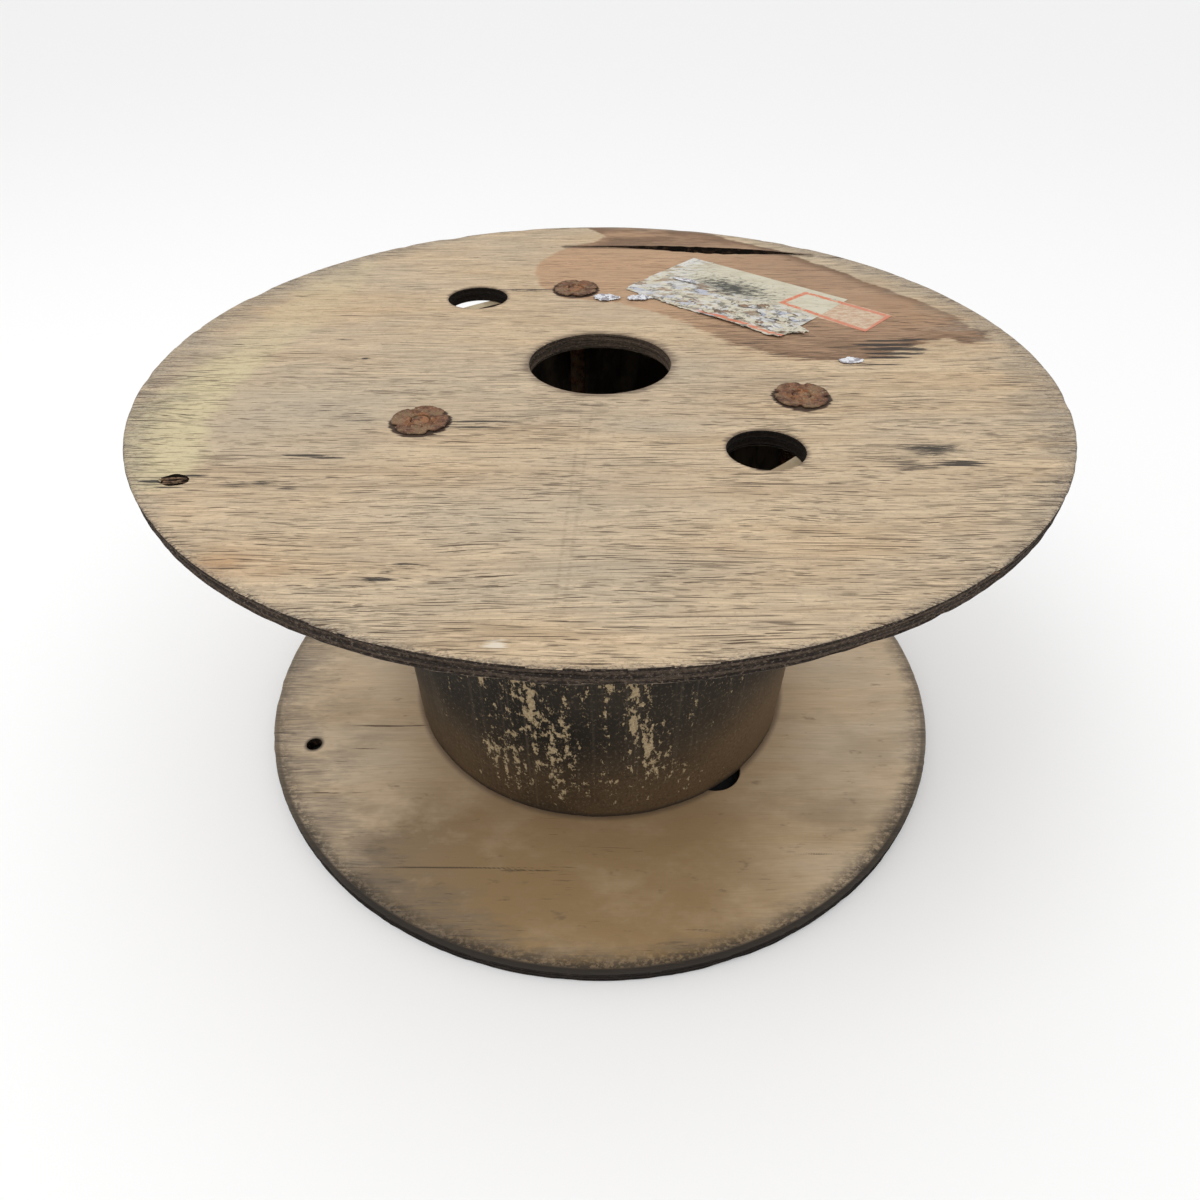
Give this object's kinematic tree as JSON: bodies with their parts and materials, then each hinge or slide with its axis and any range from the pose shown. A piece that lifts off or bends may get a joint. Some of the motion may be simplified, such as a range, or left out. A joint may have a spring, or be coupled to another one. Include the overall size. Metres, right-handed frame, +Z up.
{
  "type": "wooden cable drum",
  "caption": "Round plywood cable drum: flanges clamped on a coated barrel by tie bolts, with a spindle bore and drive holes.",
  "frame": {"origin": "centre of the lower flange's underside, on the drum's axis, on the surface that the drum stands on", "axes": "+Z runs up the drum's axis from the lower flange to the upper flange; -Y is the side nearest the viewer; the face grain runs along X"},
  "size_m": [0.4999, 0.5, 0.2565],
  "materials": {
    "flange_plywood": "weathered, bare veneer with dark dirty edges",
    "barrel_board": "black coating, flaked",
    "bolt_steel": "dull zinc",
    "rusted_steel": "rusted",
    "label_paper": "torn and scuffed"
  },
  "bodies": {
    "root": {"upper_flange": "flange_plywood", "lower_flange": "flange_plywood", "barrel": "barrel_board", "tie_bolt_1": "bolt_steel", "tie_bolt_2": "bolt_steel", "tie_bolt_3": "bolt_steel", "tee_nut_1": "rusted_steel", "tee_nut_2": "rusted_steel", "tee_nut_3": "rusted_steel", "label": "label_paper"}
  },
  "joints": []
}
